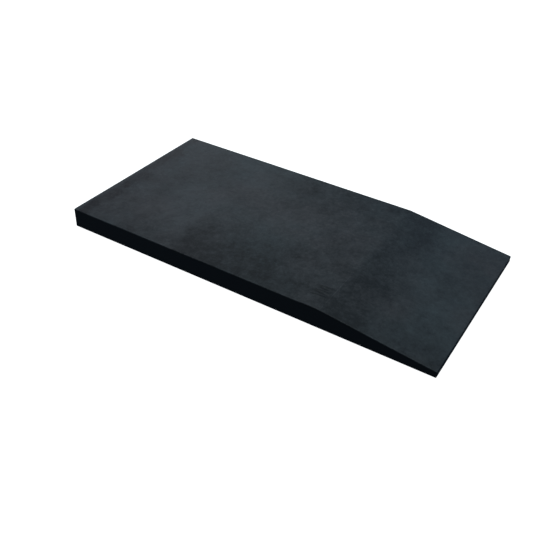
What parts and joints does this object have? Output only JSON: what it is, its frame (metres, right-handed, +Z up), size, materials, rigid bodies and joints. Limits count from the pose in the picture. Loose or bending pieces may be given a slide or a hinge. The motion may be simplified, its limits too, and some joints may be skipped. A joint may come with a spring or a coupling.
{
  "type": "portable wheelchair ramp",
  "caption": "Low black slab ramp for a wheelchair: a long level landing, then a short slope down to a thin blunt nose, clad in rubber sheet.",
  "frame": {"origin": "on the floor, under the middle of the ramp's length and width", "axes": "+X down the slope towards the nose, +Y to the far long side, +Z up"},
  "size_m": [1.49, 0.75, 0.076],
  "materials": {
    "tread_rubber": "matte, faintly cloudy, calendered sheet",
    "edge_rubber": "matte",
    "base_rubber": "matte, ribbed",
    "board": "sanded plywood",
    "foam": "closed-cell foam, hot-wire cut"
  },
  "bodies": {
    "root": {"landing_core": "foam", "slope_core": "foam", "landing_board": "board", "slope_board": "board", "landing_tread": "tread_rubber", "slope_tread": "tread_rubber", "base_sheet": "base_rubber", "near_side_strip": "edge_rubber", "far_side_strip": "edge_rubber", "rear_end_strip": "edge_rubber", "nose_bar": "edge_rubber"}
  },
  "joints": []
}
